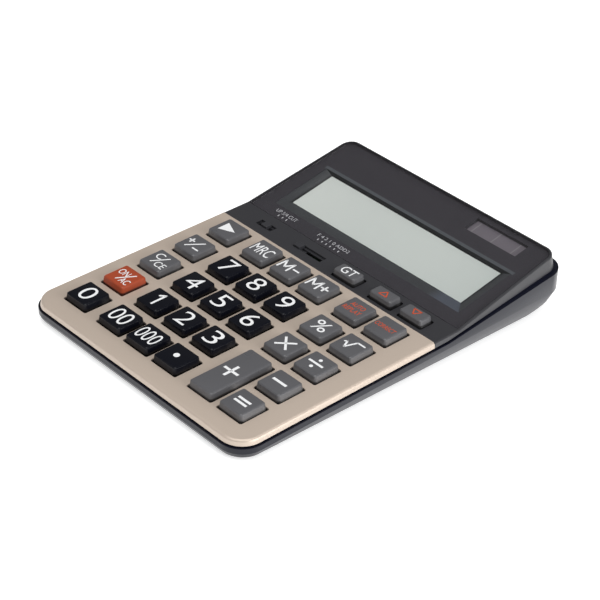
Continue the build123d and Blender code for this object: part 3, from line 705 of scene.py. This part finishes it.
class Legend:
    """One printed legend, built up flat about its middle, in millimetres, then laid on a face."""

    def __init__(self):
        self.shape = bmesh.new()

    def _add(self, part):
        mesh = bpy.data.meshes.new("part")
        part.to_mesh(mesh)
        part.free()
        self.shape.from_mesh(mesh)
        bpy.data.meshes.remove(mesh)
        return self

    def text(self, words, height, x=0.0, y=0.0, width=None, weight=0.0):
        """Letters of this height, their middle at x, y; width squeezes or stretches them."""
        curve = bpy.data.curves.new("words", "FONT")
        curve.body = words
        curve.extrude = 0.5
        curve.offset = weight
        holder = bpy.data.objects.new("words", curve)
        mesh = bpy.data.meshes.new_from_object(holder)
        bpy.data.objects.remove(holder)
        bpy.data.curves.remove(curve)
        part = bmesh.new()
        part.from_mesh(mesh)
        bpy.data.meshes.remove(mesh)
        low, high = ([f(v.co[i] for v in part.verts) for i in (0, 1)] for f in (min, max))
        tall = height * MM / (high[1] - low[1])
        wide = width * MM / (high[0] - low[0]) if width else tall
        middle = Vector(((high[0] + low[0]) / 2, (high[1] + low[1]) / 2, -0.5))
        change = (
            Matrix.Translation((x * MM, y * MM, 0))
            @ Matrix.Diagonal((wide, tall, INK, 1))
            @ Matrix.Translation(-middle)
        )
        bmesh.ops.transform(part, matrix=change, verts=part.verts)
        return self._add(part)

    def stroke(self, width, *points, ends=ROUND):
        """One line of the pen through several points: a bar between each two."""
        for start, end in zip(points, points[1:]):
            start, end = Vector(start) * MM, Vector(end) * MM
            run, middle = end - start, (start + end) / 2
            part = bmesh.new()
            bmesh.ops.create_cube(part, size=1.0)
            size = (run.length + width * MM, width * MM, INK)
            bmesh.ops.scale(part, vec=size, verts=part.verts)
            upright = [e for e in part.edges if abs(e.verts[0].co.z - e.verts[1].co.z) > INK / 2]
            bmesh.ops.bevel(
                part, geom=upright, offset=width * MM * ends, segments=4, affect="EDGES",
                profile=0.5, material=-1,
            )
            turn = Matrix.Rotation(math.atan2(run.y, run.x), 3, "Z")
            bmesh.ops.rotate(part, cent=(0, 0, 0), verts=part.verts, matrix=turn)
            bmesh.ops.translate(part, verts=part.verts, vec=(middle.x, middle.y, INK / 2))
            self._add(part)
        return self

    def rule(self, width, start, end):
        """A line of a sign, with square ends."""
        return self.stroke(width, start, end, ends=SQUARE)

    def disc(self, x, y, radius):
        """A round dot."""
        part = bmesh.new()
        bmesh.ops.create_cone(
            part, cap_ends=True, segments=20, radius1=radius * MM, radius2=radius * MM,
            depth=INK, matrix=Matrix.Translation((x * MM, y * MM, INK / 2)),
        )
        return self._add(part)

    def wedge(self, *corners):
        """A filled shape with straight sides."""
        part = bmesh.new()
        base = part.faces.new([part.verts.new((x * MM, y * MM, 0.0)) for x, y in corners])
        raised = bmesh.ops.extrude_face_region(part, geom=[base])
        top = [g for g in raised["geom"] if isinstance(g, bmesh.types.BMVert)]
        bmesh.ops.translate(part, verts=top, vec=(0, 0, INK))
        bmesh.ops.recalc_face_normals(part, faces=part.faces)
        return self._add(part)

    def lay(self, name, place, material, body):
        """Makes the piece, puts its place into the mesh and lets it ride on a body."""
        mesh = bpy.data.meshes.new(name)
        bmesh.ops.transform(self.shape, matrix=place, verts=self.shape.verts)
        self.shape.to_mesh(mesh)
        self.shape.free()
        mesh.materials.append(material)
        piece = bpy.data.objects.new(name, mesh)
        bpy.context.scene.collection.objects.link(piece)
        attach(piece, body)

    def lay_on_key(self, key, material):
        """Lays the legend a hair above a key's top."""
        raised = Face(key).place @ Matrix.Translation((0, 0, LIFT))
        self.lay(key + "_legend", raised, material, key)


print("pen ready")

# %% [markdown]
# ## Figures and words
# Figures are 10 mm tall on a 14.5 mm key, so they fill its top. The words on the function keys are
# smaller, and two of them stand askew round a slash. The font's own 1 and M are too fancy for a
# key, so the pen draws them.

# %% Figures and words
FIGURE = 10.2     # height of a figure


def figure(words, width, height=FIGURE, weight=-0.006):
    """Letters or figures in the middle of a key; a weight below 0 makes them thinner."""
    return Legend().text(words, height, 0.4, -0.1, width, weight)


def slashed(upper, lower, start, end):
    """Two short words with a slash between them; each word is letters, height, width, x, y."""
    legend = Legend()
    for letters, height, width, x, y in (upper, lower):
        legend.text(letters, height, x, y, width)
    return legend.stroke(0.7, start, end)


letter_m = ((-5.8, -3.3), (-5.5, 3.3), (-2.6, -1.6), (0.3, 3.3), (0.6, -3.3))

legends = {"key_" + digit: figure(digit, 7.3) for digit in "02356789"}
legends["key_4"] = figure("4", 7.9)
legends["key_1"] = Legend().stroke(1.2, (-1.3, 2.5), (0.9, 4.5), (0.9, -4.5))
legends["key_00"] = figure("00", 11.4, 9.8)
legends["key_000"] = figure("000", 12.9, 8.8)
legends["key_point"] = Legend().disc(0, 0, 1.55)
legends["key_memory_recall"] = figure("MRC", 12.4, 7.2, 0.0)
legends["key_memory_minus"] = Legend().stroke(1.0, *letter_m).stroke(1.0, (2.5, 0), (5.9, 0))
legends["key_memory_plus"] = (
    Legend()
    .stroke(1.0, *letter_m)
    .stroke(1.0, (2.1, 0), (6.1, 0))
    .stroke(1.0, (4.1, -2.0), (4.1, 2.0))
)
legends["key_grand_total"] = figure("GT", 9.0, 5.6, 0.0)
legends["key_on_ac"] = slashed(
    ("ON", 4.2, 6.2, -2.3, 1.9), ("AC", 4.2, 5.6, 3.4, -2.8), (-1.6, -4.2), (3.7, 4.2)
)
legends["key_c_ce"] = slashed(
    ("C", 4.8, 4.2, -2.5, 2.3), ("CE", 4.4, 6.2, 3.4, -3.1), (-2.6, -4.05), (2.6, 4.05)
)
print("figures and words:", len(legends))

# %% [markdown]
# ## Signs
# A font's signs are thin and small next to its figures. On a calculator they are bold and cut
# square, so they are drawn as rules, with discs for the dots.

# %% Signs
REACH = 3.9     # half the length of the longer rules

legends["key_plus"] = (
    Legend().rule(1.45, (-REACH, 0), (REACH, 0)).rule(1.45, (0, -REACH), (0, REACH))
)
legends["key_minus"] = Legend().rule(1.45, (-3.6, 0), (3.6, 0))
legends["key_equals"] = (
    Legend().rule(1.35, (-3.3, 1.3), (3.3, 1.3)).rule(1.35, (-3.3, -1.3), (3.3, -1.3))
)
legends["key_times"] = (
    Legend().rule(1.2, (-3.3, -3.3), (3.3, 3.3)).rule(1.2, (-3.3, 3.3), (3.3, -3.3))
)
legends["key_divide"] = (
    Legend().rule(1.25, (-REACH, 0), (REACH, 0)).disc(0, 3.0, 0.95).disc(0, -3.0, 0.95)
)
legends["key_percent"] = figure("%", 8.2, 8.2, 0.0)
legends["key_root"] = Legend().stroke(
    0.95, (-4.2, 0.2), (-3.2, 0.8), (-1.4, -3.2), (1.0, 3.4), (5.4, 3.4)
)
legends["key_sign"] = (
    Legend()
    .stroke(0.9, (-5.3, 1.5), (-2.3, 1.5))
    .stroke(0.9, (-3.8, 0.0), (-3.8, 3.0))
    .stroke(0.8, (-3.05, -3.95), (3.05, 3.95))
    .stroke(0.9, (1.6, -2.85), (5.1, -2.85))
)
legends["key_shift"] = Legend().wedge((-4.2, -3.8), (-4.2, 3.8), (4.4, 0))
for key, legend in legends.items():
    legend.lay_on_key(key, white_ink)
print("white legends laid:", len(legends))

# %% [markdown]
# ## Red legends
# The keys that step back through a calculation are marked in red: two hollow triangles, and words
# small enough to stand on a key in one or two lines.

# %% Red legends


def hollow_triangle(rise):
    """An outlined triangle; a negative rise turns it over."""
    base = ((-2.4, -rise), (2.4, -rise))
    return Legend().stroke(0.6, *base, (0, rise), base[0])


red_legends = {
    "key_auto_replay": (
        Legend().text("AUTO", 3.0, 0, 2.1, width=8.6).text("REPLAY", 3.0, 0, -2.1, width=11.0)
    ),
    "key_correct": Legend().text("CORRECT", 2.9, width=12.2),
    "key_check_up": hollow_triangle(1.9),
    "key_check_down": hollow_triangle(-1.9),
}
for key, legend in red_legends.items():
    legend.lay_on_key(key, red_ink)
print("red legends laid:", len(red_legends))

# %% [markdown]
# ## Scale of the slide switches
# Behind the clear panel, just past the crease, each switch has a row of short ticks, one for each
# place of its knob, and small figures behind the ticks. They lie on the dark print.

# %% Ticks and small print
PITCH = 2.93     # from one place of a knob to the next


def knob_middle(name):
    """Where a knob stands at rest, from the middle of the case, in millimetres."""
    low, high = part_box(name)
    return (low.x + high.x) / 2 / MM


rounding = knob_middle("rounding_switch_knob")
decimal = knob_middle("decimal_switch_knob")
ticks = [rounding + (step - 0.4) * PITCH for step in (-1, 0, 1)]
ticks += [decimal + (step + 0.2) * PITCH for step in range(6)]
scales = Legend()
for x in ticks:
    scales.stroke(0.5, (x, 3.2), (x, 4.0))
scales.text("UP 5/4 CUT", 2.2, rounding - 0.8, 6.4, 14.6, -0.01)
scales.text("F 4 2 1 0 ADD2", 2.0, decimal + 9.0, 6.4, 22, -0.01)
bmesh.ops.scale(scales.shape, vec=(1, 1, 0.3), verts=scales.shape.verts)
on_print = panel.at(0, 0, 0.3 * AIR - window_thickness)
scales.lay("switch_scales", on_print, scale_ink, "housing")
print("ticks laid:", len(ticks))

# %% [markdown]
# ## Table
# The calculator stands on a plain pale table. A Light Path node tells the shader what kind of ray
# asks. The table glows weakly, and more for the camera, mirrors and clear plastic than for the
# light on the object, so it comes out white and keeps the calculator's shadow.

# %% Table
GLOW, SEEN_GLOW = 0.25, 0.35     # the table's own glow, and what is added where it is looked at

table = bmesh.new()
bmesh.ops.create_grid(table, x_segments=1, y_segments=1, size=4.0)
table_mesh = bpy.data.meshes.new("table")
table.to_mesh(table_mesh)
table.free()
floor = bpy.data.objects.new("table", table_mesh)
bpy.context.scene.collection.objects.link(floor)


def ray_is(graph, kind):
    """1 for a ray of this kind, 0 for any other."""
    return graph.node("ShaderNodeLightPath", output=f"Is {kind} Ray")


paper = Finish(
    "white_table", Base_Color=(0.86, 0.86, 0.86, 1.0), Roughness=0.9, Specular_IOR_Level=0.0
)
seen = ray_is(paper, "Camera") + ray_is(paper, "Glossy") + ray_is(paper, "Transmission")
glow = paper.node(
    "ShaderNodeEmission", None, {"Color": (1, 1, 1, 1), "Strength": GLOW + seen * SEEN_GLOW}
)
lit = Value(paper, paper.shader.outputs[0])
whole = paper.node("ShaderNodeAddShader", None, {0: lit, 1: glow})
paper.feed(paper.tree.nodes["Material Output"].inputs["Surface"], whole)
table_mesh.materials.append(paper.material)
print("table reaches", round(max(v.co.x for v in table_mesh.vertices), 1), "m to each side")

# %% [markdown]
# ## World
# The world is white. The camera sees it at full strength, which makes the background white, while
# its light on the object stays at a plain level. A mirror sees it dimmer still, so that the gloss
# of the dark plastics stays deep.

# %% World
AMBIENT = 0.38      # light that the world gives the object
MIRRORED = 0.16     # world as a mirror sees it

world = bpy.data.worlds.new("studio")
bpy.context.scene.world = world
world.use_nodes = True
sky = Graph(world.node_tree)
background = sky.tree.nodes["Background"]
strength = (
    AMBIENT
    + (1.0 - AMBIENT) * ray_is(sky, "Camera")
    + (MIRRORED - AMBIENT) * ray_is(sky, "Glossy")
)
sky.feed(background.inputs["Strength"], strength)
sky.feed(background.inputs["Color"], (1, 1, 1, 1))
print("world lights the object at", AMBIENT)

# %% [markdown]
# ## Lamps
# Three square lamps make soft light: the large one overhead, one from the right that shapes the
# keys' walls, and a weak one from the front left that opens the shadows. Azimuth 0 is in front of
# the calculator and 90 on its right.

# %% Lamps


def way_back(azimuth, elevation):
    """The direction from the calculator to a lamp or the camera, from two angles in degrees."""
    a, e = math.radians(azimuth), math.radians(elevation)
    return Vector((math.sin(a) * math.cos(e), -math.cos(a) * math.cos(e), math.sin(e)))


def hang(name, data, back, place):
    """Adds a lamp or camera that looks against the direction it hangs in."""
    holder = bpy.data.objects.new(name, data)
    bpy.context.scene.collection.objects.link(holder)
    holder.location = place
    holder.rotation_mode = "QUATERNION"
    holder.rotation_quaternion = back.to_track_quat("Z", "Y")
    return holder


def softbox(name, azimuth, elevation, distance, size, power):
    """A square lamp that faces the calculator: distance and size in metres, power in watts."""
    lamp = bpy.data.lights.new(name, "AREA")
    lamp.shape = "SQUARE"
    lamp.size = size
    lamp.energy = power
    back = way_back(azimuth, elevation)
    hang(name, lamp, back, back * distance)


softbox("top_light", 20, 78, 1.6, 1.5, 15)
softbox("side_light", 100, 18, 1.6, 1.0, 17)
softbox("front_light", -30, 40, 1.8, 1.0, 1.2)
print("lamps:", len(bpy.data.lights))

# %% [markdown]
# ## Camera
# A long lens from the front right, looking down by about a third of a right angle. It is rolled a
# few degrees, as a camera in the hand is.

# %% Camera
LOOK_AT = Vector((0.0092, -0.0092, 0.016))
DISTANCE = 0.945
AZIMUTH, ELEVATION, ROLL = 45.2, 32.15, 4.4     # degrees

lens = bpy.data.cameras.new("camera")
lens.sensor_width = 36.0
lens.lens = 120.0
back = way_back(AZIMUTH, ELEVATION)
camera = hang("camera", lens, back, LOOK_AT + back * DISTANCE)
roll = Quaternion((0, 0, 1), math.radians(ROLL))
camera.rotation_quaternion = camera.rotation_quaternion @ roll
bpy.context.scene.camera = camera
bpy.context.scene.view_settings.view_transform = "Standard"
print("camera at", tuple(round(c, 3) for c in camera.location))
